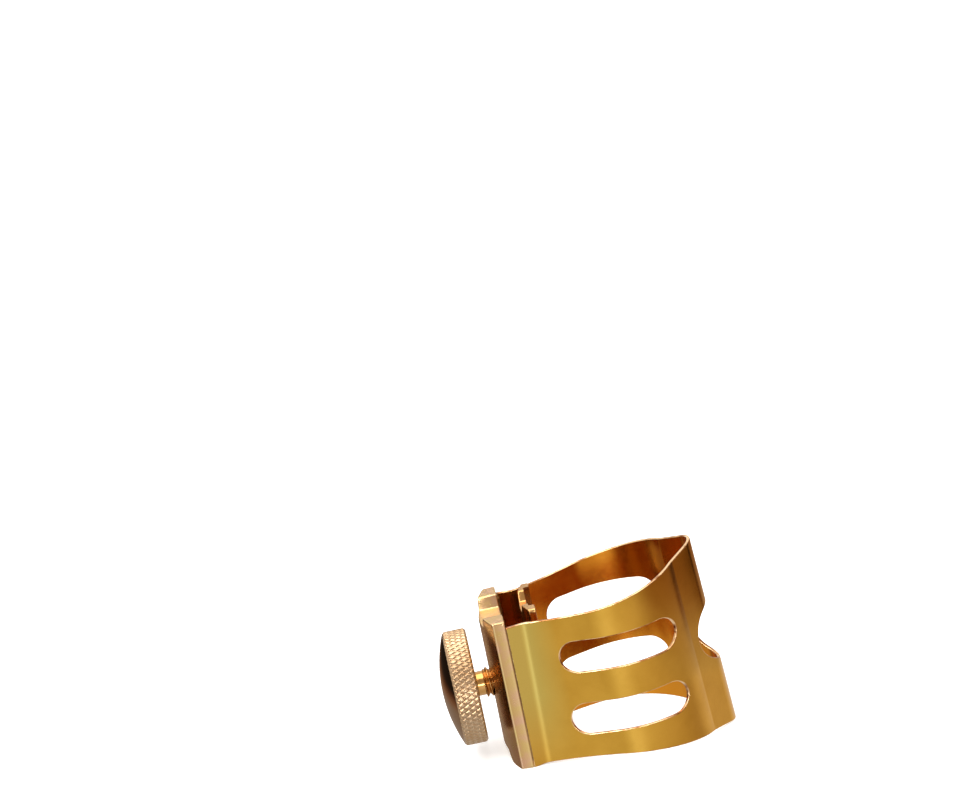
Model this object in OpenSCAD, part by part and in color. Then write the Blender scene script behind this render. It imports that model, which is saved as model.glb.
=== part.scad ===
// Single-screw saxophone ligature: a slotted sheet band closed by a bridge plate,
// with a thumbscrew that drives a pressure plate against the reed.
// Millimetres. +Z runs along the mouthpiece bore, +X points at the ridge channel,
// -X at the thumbscrew. The origin is on the bore axis, where the screw's axis meets it.

/* [Bore] */
// Diameter of the mouthpiece body that the band clamps
bore_d = 20.3; // [19.5:0.1:21.5]
// Thickness of the band sheet
sheet_t = 0.5; // [0.4:0.05:0.7]
// Lean of the bridge, screw and pressure plate from the bore axis, in degrees
reed_lean = 3.6; // [2:0.1:4]

/* [Band] */
// Bore axis to the side edges of the bridge's outer face
bridge_reach = 16.2; // [15.9:0.1:16.7]
// Bore axis to the crest of the ridge channel
ridge_reach = 12.7; // [12.3:0.1:13.2]
// Outer radius of the ridge channel's nose
ridge_nose_r = 3.5; // [3:0.1:3.8]
// Angle of the channel's straight flanks from the crest, in degrees
ridge_flank = 41; // [40:0.5:43]
// Half the width of the band where its tabs meet the bridge
tab_y = 7.4; // [7:0.1:7.5]
// Half the width of the band at the crease beside the bridge
crease_y = 7; // [6.8:0.1:7.4]
// Distance from the bridge's outer face to the crease
crease_in = 3.7; // [3.3:0.1:4.2]
// Half the height of the band beside the bridge
bridge_end_h = 9.95; // [9:0.05:10.2]
// Half the height of the band at the ridge channel
ridge_end_h = 13.15; // [11:0.05:13.5]
// How far the curved rims dip between their two ends
rim_dip = 1.1; // [0.5:0.1:1.5]
// Lean of the line midway between the rims, in degrees
mid_lean = 0.85; // [0:0.05:2]
// Height of that line above the origin
mid_rise = 0.25; // [0:0.05:0.5]

/* [Openings in the band] */
// Width of each of the side slots
slot_w = 4.4; // [4.2:0.1:4.6]
// Overall length of each slot
slot_len = 15.8; // [13:0.1:16]
// Slot centres above and below the screw, measured along the reed
slot_offset = 4.4; // [4.1:0.05:4.6]
// Bore axis to the middle of a slot, towards the bridge
slot_shift = 0.65; // [0.3:0.05:1.5]
// Lean of the slots from square to the bore axis, in degrees
slot_lean = 1.4; // [0:0.1:2]
// Diameter of the round window in the ridge channel
window_d = 8.2; // [6:0.1:9]

/* [Bridge plate] */
// Width of the bridge
bridge_w = 15; // [14.8:0.1:15.4]
// Length of the bridge along the reed
bridge_len = 20.8; // [20.4:0.1:22]
// Thickness of the bridge at its side edges
bridge_t = 1.6; // [1.5:0.1:1.9]
// How far the outer face crowns above its side edges
bridge_crown = 1.5; // [1.2:0.1:1.6]
// Depth of the notch in each end
bridge_notch = 1.6; // [1:0.1:2]
// Width of each notch at its mouth
bridge_notch_w = 8.2; // [6:0.1:9]

/* [Pressure plate] */
// Width of the pressure plate
plate_w = 11; // [10:0.1:11.2]
// Length of the pressure plate
plate_len = 21.2; // [18:0.1:21.4]
// Bridge's outer face to the faces of the reed rails, as stored
plate_in = 6; // [5.8:0.1:6.1]
// Thickness of the plate at its side edges
plate_edge_t = 0.9; // [0.8:0.1:1.1]
// How far the plate's outer face crowns above its side edges
plate_crown = 0.95; // [0.8:0.05:1]
// Width of each reed rail
rail_w = 1.8; // [1.4:0.1:1.9]
// Depth of the relieved channel between the rails
channel_depth = 0.75; // [0.7:0.05:0.8]

/* [Thumbscrew] */
// Diameter of the knurled head
head_d = 15.4; // [13:0.1:16]
// Thickness of the head at its knurled rim
head_t = 3.2; // [2.5:0.1:4]
// Height of the dome on the head
head_dome = 1.5; // [0.5:0.1:2]
// Bridge's outer face to the inner face of the head, as stored
head_gap = 3.5; // [3.3:0.1:3.7]
// Major diameter of the thread
thread_d = 4; // [3.8:0.1:4.2]
// Diameter of the journal that turns in the pressure plate
journal_d = 2.4; // [2:0.1:2.6]

/* [Hidden] */
$fn = 96;

// running clearances and small cutting allowances
shaft_gap = 0.05;      // radial clearance of a turning shaft
face_gap = 0.03;       // end clearance between turning faces
cut = 1;               // how far a cutter runs past the face it cuts
far = 40;              // longer than any side of the part

// band section, worked out around the bore axis
bore_r = bore_d / 2;
outer_r = bore_r + sheet_t;
crease = [crease_in - bridge_reach, crease_y];
tab_rise = (tab_y - crease_y) / (crease_in - bridge_t);
tab_angle = atan(tab_rise);
tab_start_x = -bridge_reach;
wall_angle = atan2(crease[1], crease[0]) - acos(outer_r / norm(crease));
nose_x = ridge_reach - ridge_nose_r;

// rims: arcs through both end heights, in the frame of the line midway between them
rim_bridge = [-bridge_reach + bridge_t, bridge_end_h];
rim_ridge = [ridge_reach, ridge_end_h];
rim_chord = norm(rim_ridge - rim_bridge);
rim_r = rim_chord * rim_chord / (8 * rim_dip) + rim_dip / 2;
rim_dir = (rim_ridge - rim_bridge) / rim_chord;
rim_centre = (rim_bridge + rim_ridge) / 2 + (rim_r - rim_dip) * [-rim_dir[1], rim_dir[0]];
rim_middle = atan2(rim_dir[1], rim_dir[0]) - 90;
rim_spread = 1.3 * asin(rim_chord / 2 / rim_r);
rim_steps = 14;

// seams
seam_leg = 0.9;
seam_len = 2 * bridge_end_h - 1;

// notches taper by this much on each side
notch_taper = 0.8;
plate_notch = 1.3;
plate_notch_w = 5.4;

// pressure plate stations from the bridge's outer face
plate_crown_x = plate_in - plate_edge_t - plate_crown;
spot_face_x = plate_crown_x + 0.15;
spot_face_d = thread_d + 0.8;
channel_x = plate_in - channel_depth;

// retaining washer and the riveted tip of the stem
washer_t = 0.2;
washer_d = 5;
washer_x = channel_x + face_gap;
tip_x = washer_x + washer_t + face_gap;
tip_t = 0.26;
tip_d = 3.6;

// head and stem
rim_chamfer = 0.3;
dome_base_r = head_d / 2 - rim_chamfer;
dome_r = (dome_base_r * dome_base_r + head_dome * head_dome) / (2 * head_dome);
socket_depth = 2.4;
spigot_d = 3;
neck_d = 3.3;
neck_len = 1;

function polar(r, a) = r * [cos(a), sin(a)];

// point i of the upper rim's arc, which runs a little past both ends of the band
function rim_point(i) =
    rim_centre + polar(rim_r, rim_middle + (2 * i / rim_steps - 1) * rim_spread);

// where a circle about the axis meets a channel flank that stands off by nose radius n
function flank_meets(r, n) = ridge_flank + acos((nose_x * cos(ridge_flank) + n) / r);

// the crease, moved inwards by t square to both of the sheets that meet there
function inset_crease(t) =
    let (n1 = polar(1, 90 - tab_angle), n2 = polar(1, wall_angle))
    crease - t * (n1 + n2) / (1 + n1 * n2);

// one half of a closed outline, mirrored and joined into a whole one
function both_sides(pts) =
    concat(pts, [for (i = [len(pts) - 1:-1:0]) [pts[i][0], -pts[i][1]]]);

// places its children in the leaning frame of the reed: x from the bridge's outer
// face towards the bore, z along the bridge
module reed_frame() {
    rotate([0, reed_lean, 0]) translate([-bridge_reach, 0, 0]) children();
}

// places its children in the frame of the line midway between the rims
module mid_frame() {
    translate([0, 0, mid_rise]) rotate([0, mid_lean, 0]) children();
}

// a cylinder along X between two stations
module shaft(d, from, to) {
    translate([from, 0, 0]) rotate([0, 90, 0]) cylinder(d = d, h = to - from);
}

// the band's cross-section, drawn inwards by t and carried along the bore
module section(t) {
    r = outer_r - t;
    nose_r = ridge_nose_r - t;
    tab_edge = crease_y + tab_rise * (crease[0] - tab_start_x) - t / cos(tab_angle);
    translate([0, 0, -far / 2]) {
        cylinder(r = r, h = far);
        translate([nose_x, 0, 0]) cylinder(r = nose_r, h = far);
        linear_extrude(far)
            polygon(both_sides([[tab_start_x, tab_edge], inset_crease(t), polar(r, wall_angle)]));
        linear_extrude(far)
            polygon(both_sides([
                polar(r, flank_meets(r, nose_r)),
                [nose_x, 0] + polar(nose_r, ridge_flank)
            ]));
    }
}

// everything between the two curved rims
module between_rims() {
    top = [for (i = [0:rim_steps]) rim_point(i)];
    mid_frame() rotate([90, 0, 0]) linear_extrude(far, center = true)
        polygon(concat(top, [for (i = [rim_steps:-1:0]) [top[i][0], -top[i][1]]]));
}

// one straight slot with round ends, cut through both side walls
module side_slot() {
    reach = (slot_len - slot_w) / 2;
    for (x = [-reach, reach])
        translate([x, 0, 0]) rotate([90, 0, 0])
            cylinder(d = slot_w, h = far, center = true);
    cube([2 * reach, far, slot_w], center = true);
}

module band() {
    color("goldenrod")
    difference() {
        intersection() {
            difference() {
                section(0);
                section(sheet_t);
            }
            between_rims();
        }
        for (side = [-1, 1])
            rotate([0, reed_lean, 0])
                translate([-slot_shift, 0, side * slot_offset])
                    rotate([0, slot_lean - reed_lean, 0]) side_slot();
        // the tabs end on the bridge's inner face
        reed_frame() translate([bridge_t - far, -far / 2, -far / 2]) cube(far);
        shaft(window_d, nose_x - cut, ridge_reach + cut);
    }
}

// a flat bar with a crowned outer face, as stations along X
module crowned_bar(width, length, edge_x, crown, inner_x) {
    crown_r = (width * width / 4 + crown * crown) / (2 * crown);
    intersection() {
        translate([edge_x - crown + crown_r, 0, -length / 2])
            cylinder(r = crown_r, h = length, $fn = 180);
        translate([edge_x - crown - cut, -width / 2, -length / 2])
            cube([inner_x - edge_x + crown + cut, width, length]);
    }
}

// tapered notches in both ends of a bar
module end_notches(length, depth, mouth) {
    for (side = [0, 1]) mirror([0, 0, side])
        translate([-far / 2, 0, length / 2])
            rotate([90, 0, 90]) linear_extrude(far)
                polygon([
                    [-mouth / 2, cut], [-mouth / 2, 0],
                    [-mouth / 2 + notch_taper, -depth], [mouth / 2 - notch_taper, -depth],
                    [mouth / 2, 0], [mouth / 2, cut]
                ]);
}

module bridge_plate() {
    color("peru") reed_frame()
    difference() {
        crowned_bar(bridge_w, bridge_len, 0, bridge_crown, bridge_t);
        end_notches(bridge_len, bridge_notch, bridge_notch_w);
        shaft(thread_d + 2 * shaft_gap, -bridge_crown - cut, bridge_t + cut);
    }
}

// hollow solder fillet in the inner corner between a band tab and the bridge
module seam(side) {
    color("darkgoldenrod")
    intersection() {
        section(sheet_t);
        reed_frame()
            translate([bridge_t, side * (tab_y - sheet_t - seam_leg), -seam_len / 2])
            difference() {
                translate([0, side > 0 ? 0 : -2 * seam_leg, 0])
                    cube([seam_leg, 2 * seam_leg, seam_len]);
                translate([seam_leg, 0, -cut])
                    cylinder(r = seam_leg, h = seam_len + 2 * cut);
            }
    }
}

module seam_front() { seam(-1); }
module seam_rear() { seam(1); }

module thumbscrew_head() {
    outer_x = -head_gap - head_t;
    color("burlywood") reed_frame()
    difference() {
        union() {
            intersection() {
                translate([outer_x - head_dome + dome_r, 0, 0]) sphere(dome_r, $fn = 180);
                shaft(2 * dome_base_r, outer_x - head_dome - cut, outer_x + rim_chamfer);
            }
            translate([outer_x, 0, 0]) rotate([0, 90, 0]) {
                cylinder(r1 = dome_base_r, r2 = head_d / 2, h = rim_chamfer);
                translate([0, 0, rim_chamfer])
                    cylinder(d = head_d, h = head_t - 2 * rim_chamfer);
                translate([0, 0, head_t - rim_chamfer])
                    cylinder(r1 = head_d / 2, r2 = dome_base_r, h = rim_chamfer);
            }
        }
        shaft(spigot_d, -head_gap - socket_depth, -head_gap + cut);
    }
}

module screw_stem() {
    color("peru") reed_frame() {
        shaft(spigot_d, -head_gap - socket_depth, -head_gap);
        shaft(neck_d, -head_gap, -head_gap + neck_len);
        shaft(thread_d, -head_gap + neck_len, spot_face_x - face_gap);
        shaft(journal_d, spot_face_x - face_gap, tip_x);
        shaft(tip_d, tip_x, tip_x + tip_t);
    }
}

module pressure_plate() {
    color("peru") reed_frame()
    difference() {
        crowned_bar(plate_w, plate_len, plate_in - plate_edge_t, plate_crown, plate_in);
        translate([channel_x, -plate_w / 2 + rail_w, -far / 2])
            cube([far, plate_w - 2 * rail_w, far]);
        end_notches(plate_len, plate_notch, plate_notch_w);
        shaft(spot_face_d, plate_crown_x - cut, spot_face_x);
        shaft(journal_d + 2 * shaft_gap, plate_crown_x - cut, plate_in + cut);
    }
}

module swivel_washer() {
    color("khaki") reed_frame()
    difference() {
        shaft(washer_d, washer_x, washer_x + washer_t);
        shaft(journal_d + 2 * shaft_gap, washer_x - cut, washer_x + washer_t + cut);
    }
}

band();
bridge_plate();
seam_front();
seam_rear();
thumbscrew_head();
screw_stem();
pressure_plate();
swivel_washer();
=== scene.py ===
"""The looks of a single-screw saxophone ligature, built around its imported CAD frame."""

import math

import bpy
import numpy as np
from mathutils import Matrix, Vector
from mathutils.geometry import delaunay_2d_cdt

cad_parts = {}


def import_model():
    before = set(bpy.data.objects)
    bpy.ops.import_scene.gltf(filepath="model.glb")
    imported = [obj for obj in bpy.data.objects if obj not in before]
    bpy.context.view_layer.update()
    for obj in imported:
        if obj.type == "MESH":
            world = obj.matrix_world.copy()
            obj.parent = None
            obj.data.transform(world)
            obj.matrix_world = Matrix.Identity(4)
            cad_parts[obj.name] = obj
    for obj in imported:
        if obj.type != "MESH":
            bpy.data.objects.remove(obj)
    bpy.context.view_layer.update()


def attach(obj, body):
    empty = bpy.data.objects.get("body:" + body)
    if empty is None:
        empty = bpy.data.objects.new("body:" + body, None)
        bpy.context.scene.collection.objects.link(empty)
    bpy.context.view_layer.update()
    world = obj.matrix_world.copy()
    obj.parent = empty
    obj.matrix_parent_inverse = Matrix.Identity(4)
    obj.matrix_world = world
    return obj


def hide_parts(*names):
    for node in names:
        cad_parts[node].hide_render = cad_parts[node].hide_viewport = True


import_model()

MM = 0.001  # lengths below are in millimetres and angles in degrees

# band, as in the CAD model
BORE_R = 10.15
SHEET_T = 0.5
OUTER_R = BORE_R + SHEET_T
REED_LEAN = 3.6
MID_LEAN = 0.85
MID_RISE = 0.25
BRIDGE_REACH = 16.2
RIDGE_REACH = 12.7
NOSE_R = 3.5
NOSE_X = RIDGE_REACH - NOSE_R
RIDGE_FLANK = 41
TAB_Y = 7.4
CREASE = Vector((3.7 - BRIDGE_REACH, 7))  # where the wall's flat run meets the tab
BRIDGE_END_H = 9.95
RIDGE_END_H = 13.15
RIM_DIP = 1.1
VALLEY_FILLET = 0.9  # radius of the bend beside the ridge channel
CREASE_FILLET = 2.2  # radius of the bend beside the bridge
CREASE_LEAN = 0.083  # how far the crease leans towards the ridge for each millimetre of height
LEAN_FROM = -3.4  # the lean grows from here to the crease
TAB_SPARE = 2  # the profile runs this far past the bridge's inner face, and is cut off there
BAND_EDGE = 0.13  # radius of the band's cut edges
GRID_TOP = 14  # the mesh's grid is laid out to this height, past both rims
BAND_ROW = 0.7  # height of a row of the grid
BAND_GAP = 0.2  # least distance from the grid to a cut edge

# openings in the band
SLOT_W = 4.4
SLOT_LEN = 15.8
SLOT_OFFSET = 4.4
SLOT_SHIFT = 0.65
SLOT_LEAN = 1.4
WINDOW_R = 4.1

# bridge plate and pressure plate
BRIDGE_W = 15
BRIDGE_LEN = 20.8
BRIDGE_T = 1.6
BRIDGE_CROWN = 1.5
BRIDGE_NOTCH = 1.6
BRIDGE_NOTCH_W = 8.2
BRIDGE_EDGE = 0.22  # radius of its edges
BRIDGE_MOUTH_R = {1: 0.35, -1: 1.8}  # corner radius at the mouth of the upper (1) and lower (-1) notch
PLATE_W = 11
PLATE_LEN = 21.2
PLATE_IN = 6
PLATE_EDGE_T = 0.9
PLATE_CROWN = 0.95
PLATE_NOTCH = 1.3
PLATE_NOTCH_W = 5.4
PLATE_EDGE = 0.12
PLATE_MOUTH_R = {1: 0.4, -1: 0.4}
PLATE_CROWN_X = PLATE_IN - PLATE_EDGE_T - PLATE_CROWN
NOTCH_TAPER = 0.8
NOTCH_FLOOR_R = 0.3
EAR_R = 0.35
BAR_GAP = 0.05  # least distance from the mesh's grid to an edge
RAIL_W = 1.8
CHANNEL_DEPTH = 0.75
CHANNEL_X = PLATE_IN - CHANNEL_DEPTH

# thumbscrew
HEAD_D = 15.4
HEAD_T = 3.2
HEAD_DOME = 1.5
HEAD_GAP = 3.5
HEAD_CHAMFER = 0.3
HEAD_SINK = 0.05  # depth of the recess that the neck stands in
NECK_D = 3.3
NECK_LEN = 1
THREAD_D = 4
THREAD_PITCH = 0.7
THREAD_DEPTH = 0.38
THREAD_FADE = 0.5  # the thread runs out over this length at both ends
THREAD_FLANK = 1.25  # how steep its flanks are, where 1 leaves no flat crest
THREAD_ROOT = 1.5  # how round its roots are, where 1 leaves them sharp
JOURNAL_D = 2.4
SPOT_X = PLATE_CROWN_X + 0.15
SPOT_R = THREAD_D / 2 + 0.4
WASHER_D = 5
WASHER_T = 0.2
FACE_GAP = 0.03
WASHER_X = CHANNEL_X + FACE_GAP
TIP_X = WASHER_X + WASHER_T + FACE_GAP
TIP_D = 3.6
TIP_T = 0.26
TIP_EDGE = 0.19  # height of the tip's rim, below its dome
TIP_ROUND = 0.1  # radius of the rim's edge
SHAFT_GAP = 0.05
DOME_POLE = 0.4  # degrees from the dome's pole to its first ring
DOME_STEP = 0.6  # degrees between its rings
KNURL_TEETH = 64
TOOTH_STEPS = 12  # points round each tooth
KNURL_STEP = 0.06
KNURL_DEPTH = 0.18
KNURL_HELIX = 27
KNURL_FLANK = 2.4  # how steep the diamonds' flanks are, where 1 gives pyramids
EDGE_STEPS = 4  # faces across a rounded edge

# braze along each tab, as (distance from the middle, radius, squeeze, shift inwards):
# a fillet inside, and a thin line outside
SEAM_ROWS = ((TAB_Y - SHEET_T - 0.18, 0.42, 0.55, 0.1), (TAB_Y - 0.02, 0.085, 1, 0))
SEAM_LEN = 2 * BRIDGE_END_H - 1  # it stops half a millimetre short of the tab's ends
SEAM_LIFT = 0.02  # its middle lies this far off the bridge's inner face
SEAM_WIDTH = 0.8  # its width across the tab, as a share of a round bead's
SEAM_TAPER = 9  # how quickly the braze reaches its full size from its ends
SEAM_TIP = 0.15  # size of its very ends, as a share of the full size
SEAM_STEPS = 160
SEAM_AROUND = 14

# the bars and the screw are built from the middle of the bridge's outer face, with X along the screw's axis
REED = Matrix.Rotation(math.radians(REED_LEAN), 4, "Y") @ Matrix.Translation((-BRIDGE_REACH, 0, 0))


def polar(r, degrees):
    """The point at radius r and an angle in degrees."""
    return Vector((r * math.cos(math.radians(degrees)), r * math.sin(math.radians(degrees))))


def turned(x, z, degrees):
    """A point of the XZ plane, turned about +Y."""
    c, s = math.cos(math.radians(degrees)), math.sin(math.radians(degrees))
    return x * c + z * s, z * c - x * s


# ---------------------------------------------------------------- meshes


def new_object(name, data):
    """An object that holds the data, in the scene."""
    made = bpy.data.objects.new(name, data)
    bpy.context.scene.collection.objects.link(made)
    return made


def add_piece(name, body, points, faces, normals=None, pattern=None, place=None):
    """Makes a smooth mesh from millimetre points and rides it on a body."""
    if place is not None:
        turn = place.to_3x3()
        points = [place @ Vector(p) for p in points]
        normals = normals and [turn @ Vector(n) for n in normals]
    mesh = bpy.data.meshes.new(name)
    mesh.from_pydata([[c * MM for c in p] for p in points], [], faces)
    mesh.polygons.foreach_set("use_smooth", [True] * len(mesh.polygons))
    if pattern is not None:
        layer = mesh.attributes.new("pattern", "FLOAT_VECTOR", "POINT")
        layer.data.foreach_set("vector", np.array(pattern, np.float32).ravel())
    mesh.update()
    if normals is not None:
        mesh.normals_split_custom_set_from_vertices([Vector(n).normalized() for n in normals])
    piece = new_object(name, mesh)
    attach(piece, body)
    return piece


def inset(loop, distance):
    """A closed loop of points moved to its left by a distance, and the unit outward direction of each."""
    pts = np.asarray(loop, float)
    ahead = np.roll(pts, -1, 0) - pts
    ahead /= np.linalg.norm(ahead, axis=1)[:, None]
    behind = np.roll(ahead, 1, 0)
    left_a = np.stack([-ahead[:, 1], ahead[:, 0]], 1)
    left_b = np.stack([-behind[:, 1], behind[:, 0]], 1)
    mitre = (left_a + left_b) / (1 + np.sum(left_a * left_b, 1))[:, None]
    outward = -(left_a + left_b)
    outward /= np.linalg.norm(outward, axis=1)[:, None]
    return pts + mitre * distance, outward


def inside(points, loops):
    """Which of the points lie inside the first loop and outside the others, by the even-odd rule."""
    odd = np.zeros(len(points), bool)
    for loop in loops:
        a = np.asarray(loop)
        b = np.roll(a, -1, 0)
        for (x0, y0), (x1, y1) in zip(a, b):
            if y0 != y1:
                crosses = (points[:, 1] > y0) != (points[:, 1] > y1)
                at = x0 + (points[:, 1] - y0) * (x1 - x0) / (y1 - y0)
                odd ^= crosses & (points[:, 0] < at)
    return odd


def clear_of(points, loops, gap):
    """Which of the points keep a gap from every point of the loops."""
    keep = np.ones(len(points), bool)
    for loop in loops:
        for p in np.asarray(loop):
            keep &= np.hypot(points[:, 0] - p[0], points[:, 1] - p[1]) > gap
    return keep


def fill(loops, grid, gap, creases=()):
    """Triangles between the loops, with the grid's points inside. Gives the points and the faces."""
    free = grid[inside(grid, loops)]
    free = free[clear_of(free, list(loops) + list(creases), gap)]
    points = []
    edges = []
    for loop in list(loops) + list(creases):
        first = len(points)
        points += [tuple(p) for p in loop]
        edges += [(first + i, first + (i + 1) % len(loop)) for i in range(len(loop))]
    points += [tuple(p) for p in free]
    out, _, faces, *_ = delaunay_2d_cdt([Vector(p) for p in points], edges, [], 0, 1e-5)
    flat = np.array([tuple(p) for p in out])
    middles = np.array([flat[list(f)].mean(0) for f in faces])
    keep = inside(middles, loops)
    return flat, [list(f) for f, k in zip(faces, keep) if k]


def pattern_solid(loops, outer, inner, grids, edge, gap, creases=((), ())):
    """A plate cut from a flat pattern, with rounded edges.

    loops run counter-clockwise outside and clockwise round holes, so that the plate is on their left.
    outer and inner give a face's point, its outward normal and the direction of the first coordinate.
    The pattern's third coordinate is 0 on the outer face, 1 on the inner one and -1 on the cut edges.
    """
    points, normals, pattern, faces = [], [], [], []
    _, normal, along = outer(*loops[0][0])
    mirrored = along.cross(Vector((0, 0, 1))).dot(normal) < 0

    def put(number, surface, at, depth, tilt, outward):
        point, normal, along = surface(*at)
        side = along * outward[0] + Vector((0, 0, 1)) * outward[1]
        points.append(point - normal * depth)
        normals.append((normal * math.cos(tilt) + side * math.sin(tilt)).normalized())
        pattern.append((at[0], at[1], -1 if tilt > 0 else number))

    for number, surface in enumerate((outer, inner)):
        rims = [inset(loop, edge)[0] for loop in loops]
        flat, triangles = fill(rims, grids[number], gap, creases[number])
        first = len(points)
        for at in flat:
            put(number, surface, at, 0, 0, (0, 0))
        for tri in triangles:
            faces.append([first + i for i in (tri[::-1] if number else tri)])
    for loop in loops:
        rings = []
        for number, surface in enumerate((outer, inner)):
            for step in range(EDGE_STEPS + 1):
                tilt = math.pi / 2 * step / EDGE_STEPS
                ring, outward = inset(loop, edge * (1 - math.sin(tilt)))
                rings.append(len(points))
                for at, out in zip(ring, outward):
                    put(number, surface, at, edge * (1 - math.cos(tilt)), tilt, out)
        order = rings[: EDGE_STEPS + 1] + rings[: EDGE_STEPS : -1]
        count = len(loop)
        for a, b in zip(order, order[1:]):
            for i in range(count):
                j = (i + 1) % count
                faces.append([a + i, b + i, b + j, a + j])
    if mirrored:
        faces = [face[::-1] for face in faces]
    return points, normals, pattern, faces


def weld(points, normals, pattern, faces):
    """Joins corners that lie in one place."""
    index, kept, new = {}, [], []
    for i, p in enumerate(points):
        key = tuple(round(c, 5) for c in p)
        if key not in index:
            index[key] = len(kept)
            kept.append(i)
        new.append(index[key])
    joined = []
    for face in faces:
        ring = []
        for i in face:
            if new[i] not in ring:
                ring.append(new[i])
        if len(ring) > 2:
            joined.append(ring)
    return [points[i] for i in kept], [normals[i] for i in kept], [pattern[i] for i in kept], joined


def spaced(a, b, step):
    """Evenly spaced values from a to b, at most a step apart."""
    return np.linspace(a, b, max(2, int(math.ceil(abs(b - a) / step)) + 1))


def crossings(columns, rows):
    """The points where columns and rows cross."""
    return np.array([(x, y) for x in columns for y in rows])


def circle(radius, turn):
    """A circle's points, at most a turn in degrees apart."""
    return [tuple(polar(radius, a)) for a in spaced(0, 360, turn)[:-1]]


def dense(loop, step):
    """A closed loop with extra points, so that none are more than a step apart."""
    out = []
    for i, p in enumerate(loop):
        q = loop[(i + 1) % len(loop)]
        count = max(1, int(math.ceil(math.dist(p, q) / step)))
        out += [(p[0] + (q[0] - p[0]) * k / count, p[1] + (q[1] - p[1]) * k / count) for k in range(count)]
    return out


def rounded(corners, step=0.08):
    """A closed outline from (x, y, radius) corners."""
    out = []
    count = len(corners)
    for i, (x, y, radius) in enumerate(corners):
        here = Vector((x, y))
        before = (Vector(corners[i - 1][:2]) - here).normalized()
        after = (Vector(corners[(i + 1) % count][:2]) - here).normalized()
        if radius == 0:
            out.append(tuple(here))
            continue
        half = before.angle(after) / 2
        centre = here + (before + after).normalized() * (radius / math.sin(half))
        start = here + before * (radius / math.tan(half)) - centre
        end = here + after * (radius / math.tan(half)) - centre
        sweep = math.atan2(start.x * end.y - start.y * end.x, start.dot(end))
        steps = max(2, int(math.ceil(abs(sweep) * radius / step)))
        for k in range(steps + 1):
            turn = Matrix.Rotation(sweep * k / steps, 2)
            out.append(tuple(centre + turn @ start))
    return out


# ---------------------------------------------------------------- band


def band_segments():
    """The band's outer profile from the ridge's crest to a tab, as (length, curvature) pairs."""
    nose_line = NOSE_X * math.cos(math.radians(RIDGE_FLANK)) + NOSE_R
    lean = math.degrees(math.acos((nose_line + VALLEY_FILLET) / (OUTER_R + VALLEY_FILLET)))
    valley = RIDGE_FLANK - lean
    valley_end = polar(OUTER_R + VALLEY_FILLET, valley) - polar(VALLEY_FILLET, RIDGE_FLANK)
    flank = (valley_end - Vector((NOSE_X, 0)) - polar(NOSE_R, RIDGE_FLANK)).length
    wall_angle = math.degrees(math.atan2(CREASE.y, CREASE.x) - math.acos(OUTER_R / CREASE.length))
    wall = math.sqrt(CREASE.length_squared - OUTER_R**2)
    tab = Vector((BRIDGE_T - BRIDGE_REACH, TAB_Y)) - CREASE
    bend = math.radians(wall_angle + 90) - math.atan2(tab.y, tab.x)
    trim = CREASE_FILLET * math.tan(bend / 2)
    return [
        (NOSE_R * math.radians(RIDGE_FLANK), 1 / NOSE_R),
        (flank, 0),
        (VALLEY_FILLET * math.radians(lean), -1 / VALLEY_FILLET),
        (OUTER_R * math.radians(wall_angle - valley), 1 / OUTER_R),
        (wall - trim, 0),
        (CREASE_FILLET * bend, -1 / CREASE_FILLET),
        (tab.length + TAB_SPARE, 0),
    ]


SEGMENTS = band_segments()


def reach(count):
    """Distance along the profile from the crest to the end of its first few segments."""
    return sum(length for length, _ in SEGMENTS[:count])


WALL_END = reach(5)
CREASE_END = reach(6)
PROFILE_END = reach(7)


def profile(s):
    """The point and direction of the band's outer profile at a distance s from the crest."""
    x, y, heading = RIDGE_REACH, 0.0, math.pi / 2
    left = abs(s)
    for length, curve in SEGMENTS:
        run = min(left, length)
        if curve == 0:
            x += run * math.cos(heading)
            y += run * math.sin(heading)
        else:
            ahead = heading + curve * run
            x += (math.sin(ahead) - math.sin(heading)) / curve
            y -= (math.cos(ahead) - math.cos(heading)) / curve
            heading = ahead
        left -= run
        if left <= 0:
            break
    if s < 0:
        return Vector((x, -y)), Vector((-math.cos(heading), math.sin(heading)))
    return Vector((x, y)), Vector((math.cos(heading), math.sin(heading)))


def distance_where(axis, value, low, high):
    """The distance along the profile, between low and high, where a coordinate has a value."""
    falls = profile(low)[0][axis] > profile(high)[0][axis]
    for _ in range(40):
        middle = (low + high) / 2
        if (profile(middle)[0][axis] > value) == falls:
            low = middle
        else:
            high = middle
    return (low + high) / 2


def leant(x, z):
    """Where the leaning crease moves a place x of the straight-creased sheet at height z."""
    return x + CREASE_LEAN * z * min(1, max(0, (LEAN_FROM - x) / (LEAN_FROM - CREASE.x)))


def unleant(x, z):
    """The place of the straight-creased sheet that lands on x at height z."""
    start = x
    for _ in range(12):
        start += x - leant(start, z)
    return start


def rim_height(x, side):
    """Height of the upper (side 1) or lower (side -1) rim above a place on the X axis."""
    low = Vector((BRIDGE_T - BRIDGE_REACH, BRIDGE_END_H))
    high = Vector((RIDGE_REACH, RIDGE_END_H))
    chord = (high - low).length
    radius = chord**2 / (8 * RIM_DIP) + RIM_DIP / 2
    along = (high - low) / chord
    centre = (low + high) / 2 + Vector((-along.y, along.x)) * (radius - RIM_DIP)
    cx, cz = turned(centre.x, side * centre.y, MID_LEAN)
    return MID_RISE + cz - side * math.sqrt(radius**2 - (x - cx) ** 2)


def edge_height(s, side):
    """Height of a rim at a distance along the profile."""
    x = profile(s)[0].x
    z = 0
    for _ in range(8):
        z = rim_height(leant(x, z), side)
    return z


def tab_end(z, side):
    """Distance along the profile where a tab meets the bridge's inner face."""
    lean = math.radians(REED_LEAN)
    x = (BRIDGE_T - BRIDGE_REACH) / math.cos(lean) + z * math.tan(lean)
    return side * distance_where(0, unleant(x, z), WALL_END, PROFILE_END)


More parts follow.
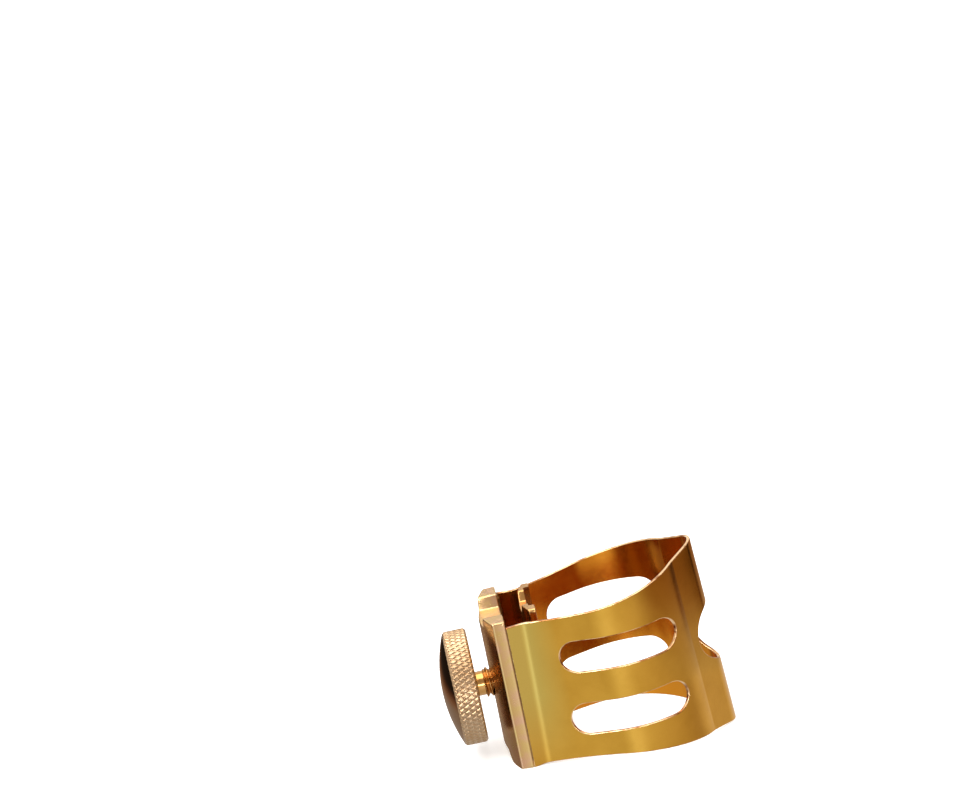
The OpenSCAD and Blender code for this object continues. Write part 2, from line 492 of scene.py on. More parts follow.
def band_outline(step=0.35):
    """The edge of the flat pattern, with the sheet on its left."""
    corners = {}
    for side in (-1, 1):
        for rim in (-1, 1):
            z = 0
            for _ in range(20):
                z = edge_height(tab_end(z, side), rim)
            corners[side, rim] = (tab_end(z, side), z)
    lower = [(s, edge_height(s, -1)) for s in spaced(corners[-1, -1][0], corners[1, -1][0], step)]
    upper = [(s, edge_height(s, 1)) for s in spaced(corners[1, 1][0], corners[-1, 1][0], step)]
    right = [(tab_end(z, 1), z) for z in spaced(corners[1, -1][1], corners[1, 1][1], step)]
    left = [(tab_end(z, -1), z) for z in spaced(corners[-1, 1][1], corners[-1, -1][1], step)]
    return lower + right[1:-1] + upper + left[1:-1]


def slot_outline(level, side, step=0.3, turn=7):
    """The upper (level 1) or lower (level -1) slot in one side, as a loop of the flat pattern."""
    half = SLOT_W / 2
    straight = (SLOT_LEN - SLOT_W) / 2
    loop = []
    for end in (1, -1):
        loop += [(x, -end * half) for x in spaced(-end * straight, end * straight, step)]
        for a in spaced(-90, 90, turn)[1:-1]:
            p = end * polar(half, a)
            loop.append((end * straight + p.x, p.y))
    mid_x, mid_z = turned(-SLOT_SHIFT, level * SLOT_OFFSET, REED_LEAN)
    out = []
    for x, z in loop:
        px, pz = turned(x, z, SLOT_LEAN)
        out.append((side * distance_where(0, unleant(px + mid_x, pz + mid_z), 0, CREASE_END), pz + mid_z))
    return out


def signed_area(loop):
    """Area of a closed loop, positive when it runs counter-clockwise."""
    a = np.asarray(loop)
    b = np.roll(a, -1, 0)
    return float(np.sum(a[:, 0] * b[:, 1] - b[:, 0] * a[:, 1]) / 2)


def wound(loop, hole):
    """The loop, running clockwise if it is a hole and counter-clockwise if not."""
    return loop[::-1] if (signed_area(loop) > 0) == hole else loop


def window_outline(turn=5):
    """The round window in the ridge channel."""
    loop = []
    for y, z in circle(WINDOW_R, turn):
        s = distance_where(1, abs(y), 0, reach(2))
        loop.append((math.copysign(s, y), z))
    return loop


def band_columns(steps=(0.25, 0.5, 0.05, 0.45, 0.8, 0.08, 0.8)):
    """Places along the profile for the columns of the mesh, with a step for each segment."""
    out = [0.0]
    for (length, _), step in zip(SEGMENTS, steps):
        out += list(spaced(out[-1], out[-1] + length, step)[1:])
    return sorted(set([-s for s in out] + out))


def band():
    """The slotted and bent sheet."""
    near = 0.01

    def outer(s, z):
        at, heading = profile(s)
        x = leant(at.x, z)
        stretch = (leant(at.x + near, z) - x) / near
        along = Vector((heading.x * stretch, heading.y, 0)).normalized()
        rise = Vector((leant(at.x, z + 0.5) - leant(at.x, z - 0.5), 0, 1))
        return Vector((x, at.y, z)), along.cross(rise).normalized(), along

    def inner(s, z):
        at, normal, along = outer(s, z)
        return at - normal * SHEET_T, -normal, along

    loops = [wound(band_outline(), False), wound(window_outline(), True)]
    loops += [wound(slot_outline(level, side), True) for level in (-1, 1) for side in (-1, 1)]
    grid = crossings(band_columns(), spaced(-GRID_TOP, GRID_TOP, BAND_ROW))
    made = pattern_solid(loops, outer, inner, (grid, grid), BAND_EDGE, BAND_GAP)
    points, normals, pattern, faces = weld(*made)
    return add_piece("band_sheet", "ligature_frame", points, faces, normals, pattern)


# ---------------------------------------------------------------- bars


def bar_outline(width, length, depth, mouth, mouth_r, marks=()):
    """Outline of a bar with a tapered notch in each end, in its own Y and Z.

    mouth_r holds the corner radius at the mouth of the notch, for the upper end (1) and the lower one (-1).
    marks are distances from the middle where the ends get an extra corner.
    """
    half, tip = width / 2, length / 2
    corners = []
    for side in (1, -1):
        row = [(half, side * tip, EAR_R)]
        row += [(m, side * tip, 0) for m in marks]
        row.append((mouth / 2, side * tip, mouth_r[side]))
        row.append((mouth / 2 - NOTCH_TAPER, side * (tip - depth), NOTCH_FLOOR_R))
        row += [(-y, z, r) for y, z, r in row[::-1]]
        corners += row[::side]
    return rounded(corners)


def bar(name, body, width, length, outer_x, crown, inner_x, notch, bore_r, edge, channel=None, spot=None):
    """A bar with a crowned outer face, a bore and notched ends.

    outer_x is the crown's top and inner_x the flat face. channel holds the half width and the depth of a
    relieved channel in the flat face, and spot the place and the radius of a flat on the crown.
    """
    wall, near = 0.06, 0.01  # the width of a channel's wall, and a hair
    crown_r = (width**2 / 4 + crown**2) / (2 * crown)

    def outer(y, z):
        if spot and math.hypot(y, z) < spot[1] - near:
            return Vector((spot[0], y, z)), Vector((-1, 0, 0)), Vector((0, 1, 0))
        drop = crown_r - math.sqrt(crown_r**2 - y**2)
        lean = math.asin(y / crown_r)
        normal = Vector((-math.cos(lean), math.sin(lean), 0))
        return Vector((outer_x + drop, y, z)), normal, Vector((math.sin(lean), math.cos(lean), 0))

    def inner(y, z):
        x = inner_x
        if channel and abs(y) < channel[0]:
            x -= channel[1] * min(1, (channel[0] - abs(y)) / wall)
        return Vector((x, y, z)), Vector((1, 0, 0)), Vector((0, 1, 0))

    marks = (channel[0] + 2 * near, channel[0] - wall - 2 * near) if channel else ()
    outline = bar_outline(width, length, *notch, marks)
    loops = [wound(dense(outline, 0.3), False), wound(circle(bore_r, 7), True)]
    across = spaced(-width / 2, width / 2, 0.25)
    grid_out = crossings(across, spaced(-length / 2, length / 2, 0.7))
    if channel:
        steps = [sign * (channel[0] + off * wall) for sign in (-1, 1) for off in (-2, -1, 0, 1)]
        across = sorted(list(spaced(-width / 2, width / 2, 0.8)) + steps)
    grid_in = crossings(across, spaced(-length / 2, length / 2, 0.5))
    creases = [circle(spot[1] - off, 6) for off in (0, 3 * near)] if spot else ()
    made = pattern_solid(loops, outer, inner, (grid_out, grid_in), edge, BAR_GAP, (creases, ()))
    points, normals, pattern, faces = weld(*made)
    return add_piece(name, body, points, faces, normals, pattern, REED)


def bridge_plate():
    """The bar that the band is brazed to, with the threaded bore."""
    notch = (BRIDGE_NOTCH, BRIDGE_NOTCH_W, BRIDGE_MOUTH_R)
    bore_r = THREAD_D / 2 + SHAFT_GAP
    return bar("bridge_bar", "ligature_frame", BRIDGE_W, BRIDGE_LEN, -BRIDGE_CROWN, BRIDGE_CROWN, BRIDGE_T,
               notch, bore_r, BRIDGE_EDGE)


def pressure_plate():
    """The bar that presses on the reed, relieved between its two rails."""
    notch = (PLATE_NOTCH, PLATE_NOTCH_W, PLATE_MOUTH_R)
    bore_r = JOURNAL_D / 2 + SHAFT_GAP
    channel = (PLATE_W / 2 - RAIL_W, CHANNEL_DEPTH)
    return bar("pressure_bar", "reed_plate", PLATE_W, PLATE_LEN, PLATE_CROWN_X, PLATE_CROWN, PLATE_IN,
               notch, bore_r, PLATE_EDGE, channel, (SPOT_X, SPOT_R))


# ---------------------------------------------------------------- turned pieces


def arc_points(x, r, radius, start, end, step=12):
    """Points of a quarter-round on a turned profile, about a centre at (x, r)."""
    return [(x + polar(radius, a).x, r + polar(radius, a).y) for a in spaced(start, end, step)]


def tube_faces(first, rings, around, closed=False):
    """Faces between rings of points that are numbered from first, with capped ends unless it is closed."""
    faces = []
    for i in range(rings if closed else rings - 1):
        a, b = first + i * around, first + (i + 1) % rings * around
        for k in range(around):
            m = (k + 1) % around
            faces.append([a + k, b + k, b + m, a + m])
    if not closed:
        end = first + (rings - 1) * around
        faces.append([first + k for k in range(around)])
        faces.append([end + k for k in range(around)][::-1])
    return faces


def lathe(name, body, outline, turns, closed=False, shape=None):
    """A turned piece about the screw's axis, from (x, r) points. shape may change a point's radius.

    The pattern's first coordinate is the distance along the outline.
    """
    points, pattern = [], []
    run = 0
    for i, (x, r) in enumerate(outline):
        run += math.dist(outline[i], outline[i - 1]) if i else 0
        for k in range(turns):
            a = 2 * math.pi * k / turns
            radius = shape(x, r, a) if shape else r
            points.append((x, radius * math.cos(a), radius * math.sin(a)))
            pattern.append((run, r * a, a))
    faces = tube_faces(0, len(outline), turns, closed)
    return add_piece(name, body, points, faces, None, pattern, REED)


def ridge_wave(phase):
    """A sharp-crested wave between 0 and 1 with period 1."""
    return abs(2 * (phase - math.floor(phase)) - 1)


def thumbscrew_head():
    """The knurled head, with a smooth dome."""
    inner_x = -HEAD_GAP
    outer_x = inner_x - HEAD_T
    radius = HEAD_D / 2
    base_r = radius - HEAD_CHAMFER
    dome_r = (base_r**2 + HEAD_DOME**2) / (2 * HEAD_DOME)
    lead = math.tan(math.radians(KNURL_HELIX)) / (math.pi * HEAD_D / KNURL_TEETH)

    def knurl(x, r, a):
        """Diamond knurling that fades out on the chamfers."""
        depth = min(1, max(0, (r - base_r) / HEAD_CHAMFER))
        turn = a / (2 * math.pi) * KNURL_TEETH
        one = ridge_wave(turn + (x - outer_x) * lead)
        two = ridge_wave(turn - (x - outer_x) * lead)
        return r - depth * KNURL_DEPTH * (1 - min(1, KNURL_FLANK * min(one, two)))

    outline = []
    dome_span = math.degrees(math.asin(base_r / dome_r))
    for a in spaced(DOME_POLE, dome_span, DOME_STEP):
        p = polar(dome_r, 180 - a)
        outline.append((outer_x - HEAD_DOME + dome_r + p.x, p.y))
    rim = (outer_x + HEAD_CHAMFER, inner_x - HEAD_CHAMFER)
    outline += [(x, base_r + (x - outer_x)) for x in spaced(outer_x + 0.03, rim[0], KNURL_STEP)]
    outline += [(x, radius) for x in spaced(*rim, KNURL_STEP)[1:]]
    outline += [(x, radius - (x - rim[1])) for x in spaced(rim[1], inner_x, KNURL_STEP)[1:]]
    outline += [(inner_x, r) for r in spaced(base_r, NECK_D / 2 + 0.3, 0.6)[1:]]
    outline += [(inner_x - HEAD_SINK, r) for r in (NECK_D / 2 + 0.2, 1.0)]
    return lathe("screw_head", "thumbscrew", outline, KNURL_TEETH * TOOTH_STEPS, shape=knurl)


def screw_stem():
    """The threaded stem, its journal and its riveted tip."""
    head, start, end = -HEAD_GAP, NECK_LEN - HEAD_GAP, SPOT_X - FACE_GAP
    neck, crest, journal = NECK_D / 2, THREAD_D / 2, JOURNAL_D / 2

    def thread(x, r, a):
        """A right-handed thread with narrow crests and rounded roots."""
        if not start < x < end or r < crest - 0.01:
            return r
        share = min(1, (x - start) / THREAD_FADE, (end - x) / THREAD_FADE)
        wave = ridge_wave(x / THREAD_PITCH - a / (2 * math.pi))
        cut = 1 - min(1, wave * THREAD_FLANK)
        return r - THREAD_DEPTH * (0.35 + 0.65 * share) * (1 - (1 - cut) ** THREAD_ROOT)

    # the root inside the head, a fillet and the neck
    outline = [(head - 0.04, 1.2), (head - 0.04, neck + 0.1)]
    outline += arc_points(head + 0.12, neck + 0.12, 0.12, 180, 270)
    outline += [(x, neck) for x in spaced(head + 0.2, start - 0.12, 0.1)]
    # a small fillet and the thread
    outline += arc_points(start - 0.02, neck + 0.1, 0.1, 270, 300)
    outline += [(x, crest) for x in spaced(start + 0.08, end - 0.02, THREAD_PITCH / 14)]
    # the shoulder and the journal
    outline += [(end, crest - 0.1), (end, journal)]
    outline += [(x, journal) for x in spaced(end + 0.1, TIP_X, 0.3)]
    # the riveted tip and its low dome
    outline += [(TIP_X, TIP_D / 2 - 0.08)]
    outline += arc_points(TIP_X + TIP_ROUND, TIP_D / 2 - TIP_ROUND, TIP_ROUND, 150, 60)
    for share in spaced(0, 1, 0.1):
        rise = (TIP_T - TIP_EDGE) * math.sin(share * math.pi / 2)
        outline.append((TIP_X + TIP_EDGE + rise, (TIP_D / 2 - TIP_ROUND) * (1 - 0.97 * share)))
    return lathe("screw_thread", "thumbscrew", outline, 96, shape=thread)


def swivel_washer():
    """The washer that keeps the pressure plate on the stem."""
    edge = 0.05
    low, high = WASHER_X + edge, WASHER_X + WASHER_T - edge
    hole, rim = JOURNAL_D / 2 + SHAFT_GAP + edge, WASHER_D / 2 - edge
    outline = [(WASHER_X, r) for r in spaced(hole, rim, 0.4)]
    outline += arc_points(low, rim, edge, 180, 90, 30)[1:]
    outline += arc_points(high, rim, edge, 90, 0, 30)
    outline += [(WASHER_X + WASHER_T, r) for r in spaced(rim, hole, 0.4)[1:]]
    outline += arc_points(high, hole, edge, 360, 270, 30)[1:]
    outline += arc_points(low, hole, edge, 270, 180, 30)[:-1]
    return lathe("washer_ring", "carriage", outline, 96, closed=True)


# ---------------------------------------------------------------- seams


def braze_flow(z, side, row):
    """How uneven the braze is at height z, as a factor around 1."""
    slow = 0.22 * math.sin(2.3 * z + side + row) * math.sin(5.1 * z + 2 * row)
    return 1 + slow + 0.1 * math.sin(13.7 * z)


def seam(name, side):
    """Braze along one tab: a hollow fillet inside and a thin uneven line outside."""
    points, faces, pattern = [], [], []
    for row, (y, size, squeeze, shift) in enumerate(SEAM_ROWS):
        made = tube_faces(len(points), SEAM_STEPS + 1, SEAM_AROUND)
        faces += made if side < 0 else [face[::-1] for face in made]
        for i in range(SEAM_STEPS + 1):
            z = SEAM_LEN * (i / SEAM_STEPS - 0.5)
            taper = min(1, math.sin(math.pi * i / SEAM_STEPS) * SEAM_TAPER + SEAM_TIP)
            r = size * braze_flow(z, side, row) * taper
            for k in range(SEAM_AROUND):
                a = 2 * math.pi * k / SEAM_AROUND
                x = BRIDGE_T + SEAM_LIFT + r * math.cos(a) * squeeze + shift
                points.append((x, side * (y + r * math.sin(a) * SEAM_WIDTH), z))
                pattern.append((z, a, row))
    return add_piece(name, "ligature_frame", points, faces, None, pattern, REED)


# ---------------------------------------------------------------- materials

# scales of the noises, from the slowest to the finest. The brushing's is stretched by each look's brush.
WAVE_SCALE = 0.16
PATCH_SCALE = 0.45
GLOSS_SCALE = 1.3
BRUSH_SCALE = 3
CHIP_SCALE = 3.5
GRAIN_SCALE = 9

POLISH_EDGE = 0.1  # the polish ends over this length

BAND_TINTS_AND_PAINTED_LIGHT = {
    # painted reflection: a paler khaki beside the bridge, on the upper part of the band
    "tab": (0.54, 0.38, 0.085),
    # painted inter-reflection: a deeper orange on the inner face, for light bouncing between the gold walls
    "inside": (0.66, 0.25, 0.02),
    "edge_dark": (0.32, 0.13, 0.04),
    "edge_light": (0.78, 0.52, 0.28),
}

SOLDER = {
    "light": (0.34, 0.20, 0.08),
    "dark": (0.16, 0.08, 0.03),
    "rough": (0.35, 0.6),
    "wave": 0.01,
    "grain": 0.02,
    "scratch": 0.01,
    "brush": (1, 1, 1),
}

# light and dark are the tints and rough is the range of the roughness. wave, grain and scratch are how deep
# the slow waves, the fine grain and the brushing are, and brush stretches the brushing along the pattern.
# drift holds the scale of the tint's noise, and where it turns from dark to light. sawn is how deep the
# ends are chipped. polished is a roughness, and how far along the pattern it reaches.
LOOKS = {
    "band_gold": {
        "light": (0.58, 0.31, 0.042),
        "dark": (0.52, 0.27, 0.033),
        "rough": (0.18, 0.25),
        "wave": 0.05,
        "grain": 0.0006,
        "scratch": 0.0012,
        "brush": (0.6, 9, 1),
        "tints": BAND_TINTS_AND_PAINTED_LIGHT,
    },
    "bridge_gold": {
        "light": (0.63, 0.44, 0.17),
        "dark": (0.65, 0.40, 0.235),
        "rough": (0.16, 0.28),
        "wave": 0.04,
        "grain": 0.0008,
        "scratch": 0.0015,
        "brush": (9, 0.7, 1),
        "drift": (0.45, 0.38, 0.62),
        "sawn": 0.12,
    },
    "plate_gold": {
        "light": (0.60, 0.35, 0.13),
        "dark": (0.52, 0.27, 0.09),
        "rough": (0.12, 0.22),
        "wave": 0.04,
        "grain": 0.0008,
        "scratch": 0.0012,
        "brush": (9, 0.7, 1),
        "sawn": 0.08,
    },
    "head_gold": {
        "light": (0.46, 0.31, 0.18),
        "dark": (0.40, 0.25, 0.13),
        "rough": (0.22, 0.32),
        "wave": 0.01,
        "grain": 0.001,
        "scratch": 0.0015,
        "brush": (9, 0.5, 1),
        "polished": (0.07, HEAD_D / 2),
    },
    "stem_gold": {
        "light": (0.60, 0.33, 0.11),
        "dark": (0.50, 0.25, 0.07),
        "rough": (0.12, 0.22),
        "wave": 0,
        "grain": 0.0008,
        "scratch": 0.001,
        "brush": (9, 0.5, 1),
    },
    "washer_gold": {
        "light": (0.66, 0.44, 0.16),
        "dark": (0.52, 0.30, 0.08),
        "rough": (0.2, 0.3),
        "wave": 0,
        "grain": 0.001,
        "scratch": 0.001,
        "brush": (9, 0.5, 1),
    },
    "solder_front": SOLDER,
    "solder_rear": SOLDER,
}


class Nodes:
    """A short way to write the nodes of a material or a world."""

    def __init__(self, owner):
        owner.use_nodes = True
        self.owner = owner
        self.tree = owner.node_tree
        self.shader = self.tree.nodes.get("Principled BSDF")

    def add(self, kind, settings=(), **inputs):
        """A node with its settings and its inputs, which are values or another node's output."""
        node = self.tree.nodes.new(kind)
        for key, value in dict(settings).items():
            setattr(node, key, value)
        for key, value in inputs.items():
            self.plug(node.inputs[key.replace("_", " ")], value)
        return node

    def plug(self, socket, value):
        """Links a node's output to a socket, or sets the socket to a value."""
        if isinstance(value, bpy.types.NodeSocket):
            self.tree.links.new(value, socket)
        else:
            socket.default_value = value

    def ramp(self, factor, stops):
        """A colour that runs through (place, colour) stops."""
        node = self.add("ShaderNodeValToRGB", Fac=factor)
        while len(node.color_ramp.elements) < len(stops):
            node.color_ramp.elements.new(0.5)
        for element, (at, colour) in zip(node.color_ramp.elements, stops):
            element.position = at
            element.color = (*colour, 1)
        return node.outputs["Color"]

    def noise(self, coordinates, scale, detail=3, rough=0.55):
        """A smooth random value around 0.5."""
        shape = {"Scale": scale, "Detail": detail, "Roughness": rough}
        return self.add("ShaderNodeTexNoise", Vector=coordinates, **shape).outputs["Fac"]

    def calculate(self, operation, *values):
        """The result of a math node's operation."""
        node = self.add("ShaderNodeMath", {"operation": operation})
        for socket, value in zip(node.inputs, values):
            self.plug(socket, value)
        return node.outputs["Value"]

    def scaled(self, coordinates, x, y, z):
        """Coordinates multiplied by a number on each axis."""
        node = self.add("ShaderNodeMapping", Vector=coordinates)
        node.inputs["Scale"].default_value = (x, y, z)
        return node.outputs["Vector"]

    def map_range(self, value, low, high, start=0.3, end=0.7):
        """A value between start and end, mapped to between low and high."""
        ends = {"From_Min": start, "From_Max": end, "To_Min": low, "To_Max": high}
        return self.add("ShaderNodeMapRange", Value=value, **ends).outputs["Result"]

    def fade(self, value, start, end):
        """A factor that goes from 0 to 1 as a value goes from start to end."""
        return self.map_range(value, 0, 1, start, end)

    def mix(self, factor, a, b):
        """Colour a where the factor is 0 and colour b where it is 1."""
        node = self.add("ShaderNodeMix", {"data_type": "RGBA"})
        for index, value in ((0, factor), (6, a), (7, b)):
            self.plug(node.inputs[index], (*value, 1) if isinstance(value, tuple) else value)
        return node.outputs[2]

    def part(self, vector, axis):
        """One coordinate of a vector."""
        return self.add("ShaderNodeSeparateXYZ", Vector=vector).outputs[axis]

    def bump(self, height, distance, normal=None):
        """A normal tilted by a height, on top of another normal. The distance is in millimetres."""
        node = self.add("ShaderNodeBump", Height=height, Strength=1, Distance=distance * MM)
        if normal is not None:
            self.plug(node.inputs["Normal"], normal)
        return node.outputs["Normal"]


def sheet_colour(n, colour, where, millimetres, tints):
    """The band's tint, with a paler khaki painted reflection high up beside the bridge, a deeper orange
    painted inter-reflection inside, and patches on the cut edges.
    """
    distance = n.calculate("ABSOLUTE", n.part(where, "X"))
    # painted reflection: a paler khaki mixed in over the last 4 mm of the wall and on the tab, growing from
    # 10 mm below the middle up to the middle
    beside = n.fade(distance, WALL_END - 4, WALL_END)
    upper = n.fade(n.part(where, "Y"), -10, 0)
    colour = n.mix(n.calculate("MULTIPLY", beside, upper), colour, tints["tab"])
    face = n.part(where, "Z")
    # painted inter-reflection: the inner face gets the deeper orange
    colour = n.mix(n.fade(face, 0, 1), colour, tints["inside"])
    patches = n.noise(millimetres, PATCH_SCALE, 2)
    edge = n.ramp(patches, [(0.36, tints["edge_dark"]), (0.54, tints["edge_light"])])
    return n.mix(n.fade(face, 0, -1), colour, edge)


def chipped(n, normal, millimetres, depth):
    """A normal that is rough on the faces that point up or down."""
    upright = n.part(n.add("ShaderNodeNewGeometry").outputs["True Normal"], "Z")
    end_face = n.fade(n.calculate("ABSOLUTE", upright), 0.6, 0.8)
    chips = n.calculate("MULTIPLY", end_face, n.noise(millimetres, CHIP_SCALE, 4, 0.7))
    return n.bump(chips, depth, normal)


def plated(name, light, dark, rough, wave, grain, scratch, brush,
           drift=(0.22, 0.35, 0.62), tints=None, sawn=0, polished=None):
    """Gold-plated brass with a drifting tint, uneven gloss, fine grain, brushing and slow waves."""
    n = Nodes(bpy.data.materials.new(name))
    where = n.add("ShaderNodeAttribute", {"attribute_name": "pattern"}).outputs["Vector"]
    space = n.add("ShaderNodeTexCoord").outputs["Object"]
    millimetres = n.scaled(space, 1 / MM, 1 / MM, 1 / MM)
    scale, low, high = drift
    colour = n.ramp(n.noise(millimetres, scale, 4), [(low, dark), (high, light)])
    # the band's painted reflection and painted inter-reflection are mixed in here
    if tints:
        colour = sheet_colour(n, colour, where, millimetres, tints)
    n.plug(n.shader.inputs["Base Color"], colour)
    gloss = n.map_range(n.noise(millimetres, GLOSS_SCALE, 5, 0.65), *rough)
    if polished:
        smooth, end = polished
        gloss = n.map_range(n.part(where, "X"), smooth, gloss, end - POLISH_EDGE, end)
    n.plug(n.shader.inputs["Roughness"], gloss)
    n.shader.inputs["Metallic"].default_value = 1
    normal = n.bump(n.noise(millimetres, WAVE_SCALE, 1), wave)
    normal = n.bump(n.noise(n.scaled(where, *brush), BRUSH_SCALE, 2), scratch, normal)
    normal = n.bump(n.noise(millimetres, GRAIN_SCALE, 2), grain, normal)
    if sawn:
        normal = chipped(n, normal, millimetres, sawn)
    n.plug(n.shader.inputs["Normal"], normal)
    return n.owner


# ---------------------------------------------------------------- stage

# the camera's angles, and its place from the middle of the bridge's outer face
CAMERA_TURN = -1.8
CAMERA_LIFT = 15.7
CAMERA_ROLL = 11.69
CAMERA_DISTANCE = 399.7
CAMERA_ACROSS = 2.6
CAMERA_ALONG = -37.097
LENS = 111.8
SENSOR = 36

FLOOR_SIZE = 4000
FLOOR_GAP = 0.02  # between the part and the floor
FOOT_RISE = 0.05  # height of the bridge's rounded foot above the end of its outline
WHITE = (1, 1, 1, 1)
PAPER_COLOUR = (0.93, 0.93, 0.93, 1)
PAPER_ROUGH = 0.85
PAPER_GLOW = 0.5

# what the metal reflects, as (place, colour): in front from left to right, and behind from low to high
ROOM_FRONT = [
    (0.0, (0.80, 0.80, 0.80)),
    (0.21, (0.92, 0.92, 0.88)),
    (0.30, (1.05, 1.08, 1.12)),
    (0.37, (1.38, 1.52, 1.90)),
    (0.44, (1.28, 1.36, 1.60)),
    (0.54, (1.00, 0.98, 0.95)),
    (0.70, (0.92, 0.86, 0.82)),
    (0.90, (0.78, 0.68, 0.62)),
    (1.0, (0.52, 0.40, 0.32)),
]
ROOM_BACK = [
    (0.325, (0.34, 0.26, 0.20)),
    (0.346, (0.30, 0.16, 0.09)),
    (0.368, (0.12, 0.05, 0.025)),
    (0.385, (0.03, 0.02, 0.015)),
    (0.47, (0.015, 0.01, 0.008)),
    (0.56, (0.35, 0.30, 0.26)),
    (0.61, (1.40, 1.34, 1.28)),
]
ROOM_BACK_RIGHT = (1.0, 0.92, 0.85)
ROOM_ABOVE = (1.30, 1.26, 1.22)
ROOM_ABOVE_FRONT = (0.60, 0.52, 0.45)
ROOM_BELOW = (0.85, 0.85, 0.85)
FILL_STRENGTH = 0.62  # the even light on the part
PAPER_STRENGTH = 1.2  # the background that the camera sees

# the card beside the ridge: its place, the stretches over which its colours change, its colours from low to
# high, its left part, and a darker streak up its middle
CARD_X = 24
CARD_Y = (-45, 25)
CARD_Z = (-10, 40)
RISE_Z = (-10, 10)
STREAK_Y = (-2, 6)
LEFT_Y = (-20, -45)
CARD_RISE = [
    (0.0, (0.74, 0.68, 0.66)),
    (0.35, (0.62, 0.50, 0.44)),
    (0.6, (0.43, 0.27, 0.18)),
    (0.8, (0.36, 0.19, 0.10)),
]
CARD_LEFT = (0.9, 0.84, 0.8)
CARD_STREAK = [
    (0.22, (0, 0, 0)),
    (0.30, (1, 1, 1)),
    (0.70, (1, 1, 1)),
    (0.90, (0, 0, 0)),
]
STREAK_RISE = [
    (0.1, (0.74, 0.68, 0.66)),
    (0.5, (0.20, 0.08, 0.03)),
    (0.8, (0.03, 0.01, 0.005)),
]

# name, place, size in millimetres and power in watts
LIGHTS = [
    ("top", (0, 0, 1500), 1500, 22.0),
    ("key", (-260, -320, 420), 200, 1.4),
    ("front", (0, -400, 30), 60, 0.16),
]


def camera():
    """A long lens, a little above the part, rolled with the way it leans."""
    turn, lift, roll = map(math.radians, (CAMERA_TURN, CAMERA_LIFT, CAMERA_ROLL))
    right = Vector((math.cos(turn), math.sin(turn), 0))
    back = Vector((math.sin(turn) * math.cos(lift), -math.cos(turn) * math.cos(lift), math.sin(lift)))
    up = back.cross(right)
    side = right * math.cos(roll) - up * math.sin(roll)
    top = right * math.sin(roll) + up * math.cos(roll)
    at = back * CAMERA_DISTANCE - side * CAMERA_ACROSS - top * CAMERA_ALONG
    data = bpy.data.cameras.new("camera")
    data.lens = LENS
    data.sensor_width = SENSOR
    data.clip_start = 0.01
    data.clip_end = 50
    frame_turn = REED.to_3x3()
    axes = Matrix((frame_turn @ side, frame_turn @ top, frame_turn @ back)).transposed().to_4x4()
    made = new_object("camera", data)
    made.matrix_world = Matrix.Translation((REED @ at) * MM) @ axes
    bpy.context.scene.camera = made


def stage_plane(name, corners, material):
    """A flat four-sided piece of the stage, from millimetre corners."""
    mesh = bpy.data.meshes.new(name)
    mesh.from_pydata([[c * MM for c in corner] for corner in corners], [], [[0, 1, 2, 3]])
    mesh.materials.append(material)
    piece = new_object(name, mesh)
    return piece


def floor_material():
    """Plain pale paper."""
    n = Nodes(bpy.data.materials.new("pale_floor"))
    n.shader.inputs["Base Color"].default_value = PAPER_COLOUR
    n.shader.inputs["Roughness"].default_value = PAPER_ROUGH
    n.shader.inputs["Emission Color"].default_value = WHITE
    n.shader.inputs["Emission Strength"].default_value = PAPER_GLOW
    return n.owner


def floor():
    """A pale floor under the two places where the band and the bridge stand on it."""
    near = Vector((BRIDGE_T - BRIDGE_REACH, 0, FOOT_RISE - BRIDGE_LEN / 2))
    near = Matrix.Rotation(math.radians(REED_LEAN), 3, "Y") @ near
    far = Vector((RIDGE_REACH, 0, rim_height(RIDGE_REACH, -1)))
    along = (far - near).normalized()
    across = Vector((0, 1, 0))
    centre = (near + far) / 2 - along.cross(across) * FLOOR_GAP
    signs = ((-1, -1), (1, -1), (1, 1), (-1, 1))
    corners = [centre + (along * a + across * b) * FLOOR_SIZE for a, b in signs]
    piece = stage_plane("floor", corners, floor_material())
    piece.visible_glossy = False


def amber_card():
    """A card beside the ridge that only reflections see, for the deep amber high on that side."""
    n = Nodes(bpy.data.materials.new("amber_card"))
    at = n.add("ShaderNodeTexCoord").outputs["Object"]
    millimetres = n.scaled(at, 1 / MM, 1 / MM, 1 / MM)
    height = n.fade(n.part(millimetres, "Z"), *RISE_Z)
    streak = n.ramp(n.fade(n.part(millimetres, "Y"), *STREAK_Y), CARD_STREAK)
    colour = n.mix(streak, n.ramp(height, CARD_RISE), n.ramp(height, STREAK_RISE))
    colour = n.mix(n.fade(n.part(millimetres, "Y"), *LEFT_Y), colour, CARD_LEFT)
    glow = n.add("ShaderNodeEmission", Color=colour)
    n.plug(n.tree.nodes["Material Output"].inputs["Surface"], glow.outputs[0])
    (left, right), (low, high) = CARD_Y, CARD_Z
    corners = [(CARD_X, y, z) for y, z in ((left, low), (right, low), (right, high), (left, high))]
    piece = stage_plane("amber_card", corners, n.owner)
    piece.visible_camera = False
    piece.visible_diffuse = False
    piece.visible_shadow = False


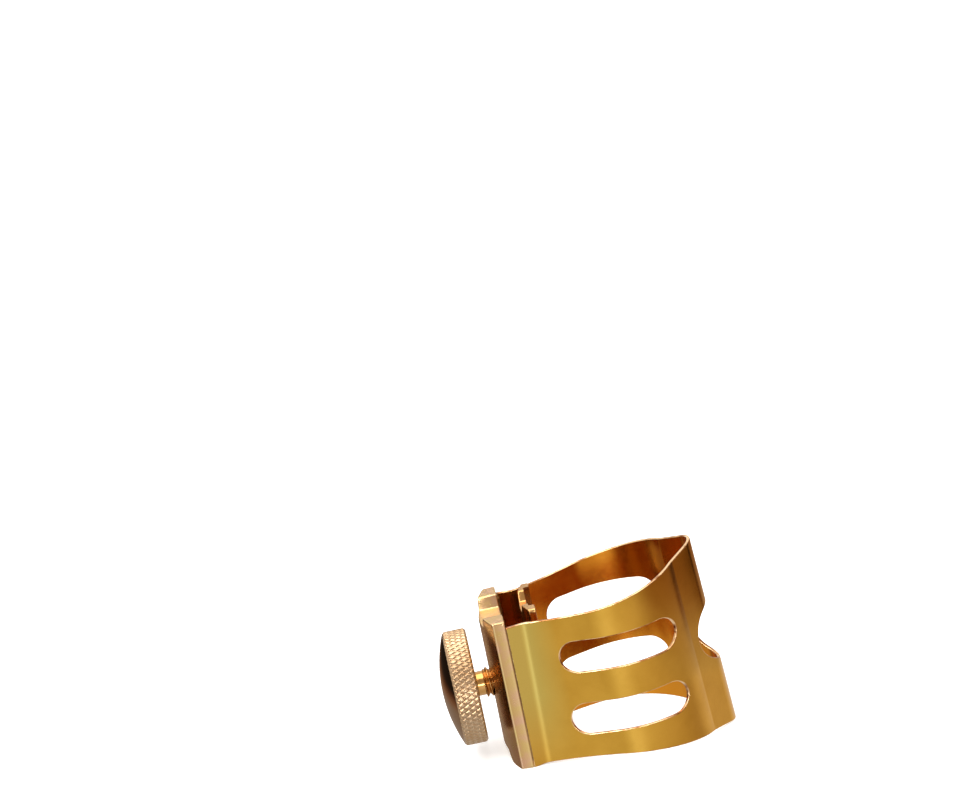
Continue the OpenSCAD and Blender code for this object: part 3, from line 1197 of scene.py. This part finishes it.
def world():
    """Even pale light, and for reflections a room that is bright in front and darker at the back."""
    n = Nodes(bpy.data.worlds.new("studio"))
    direction = n.add("ShaderNodeTexCoord").outputs["Generated"]
    x, y, z = (n.part(direction, axis) for axis in "XYZ")
    front = n.ramp(n.fade(x, -1, 1), ROOM_FRONT)
    back = n.ramp(n.fade(z, -1, 1), ROOM_BACK)
    back = n.mix(n.fade(x, 0, 0.4), back, ROOM_BACK_RIGHT)
    room = n.mix(n.fade(y, 0, 0.3), front, back)
    above = n.mix(n.fade(y, -0.7, -0.1), ROOM_ABOVE_FRONT, ROOM_ABOVE)
    room = n.mix(n.fade(z, 0.1, 0.45), room, above)
    room = n.mix(n.fade(z, -0.45, -0.75), room, ROOM_BELOW)
    seen = n.tree.nodes["Background"]
    n.plug(seen.inputs["Color"], room)
    blend = n.add("ShaderNodeBackground", Color=WHITE, Strength=FILL_STRENGTH).outputs[0]
    paper = n.add("ShaderNodeBackground", Color=WHITE, Strength=PAPER_STRENGTH).outputs[0]
    rays = n.add("ShaderNodeLightPath").outputs
    for factor, surface in ((rays["Is Glossy Ray"], seen.outputs[0]), (rays["Is Camera Ray"], paper)):
        mixer = n.add("ShaderNodeMixShader")
        for index, value in enumerate((factor, blend, surface)):
            n.plug(mixer.inputs[index], value)
        blend = mixer.outputs[0]
    n.plug(n.tree.nodes["World Output"].inputs["Surface"], blend)
    bpy.context.scene.world = n.owner


def area_light(name, at, size, power):
    """A soft square light aimed at the origin."""
    data = bpy.data.lights.new(name, "AREA")
    data.shape = "SQUARE"
    data.size = size * MM
    data.energy = power
    light = new_object(name, data)
    light.location = Vector(at) * MM
    light.rotation_euler = (Vector() - Vector(at)).to_track_quat("-Z", "Y").to_euler()


# ---------------------------------------------------------------- the scene

camera()
floor()
amber_card()
world()
for light in LIGHTS:
    area_light(*light)
bpy.context.scene.view_settings.view_transform = "Standard"

PIECES = [
    (band(), "band", "band_sheet", "band_gold"),
    (bridge_plate(), "bridge_plate", "bridge_bar", "bridge_gold"),
    (pressure_plate(), "pressure_plate", "plate_bar", "plate_gold"),
    (thumbscrew_head(), "thumbscrew_head", "head_knurl", "head_gold"),
    (screw_stem(), "screw_stem", "stem_thread", "stem_gold"),
    (swivel_washer(), "swivel_washer", "washer", "washer_gold"),
    (seam("seam_bead_front", -1), "seam_front", "solder", "solder_front"),
    (seam("seam_bead_rear", 1), "seam_rear", "solder", "solder_rear"),
]
for piece, node, slot, look in PIECES:
    piece.data.materials.append(plated(look, **LOOKS[look]))
    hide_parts(node)
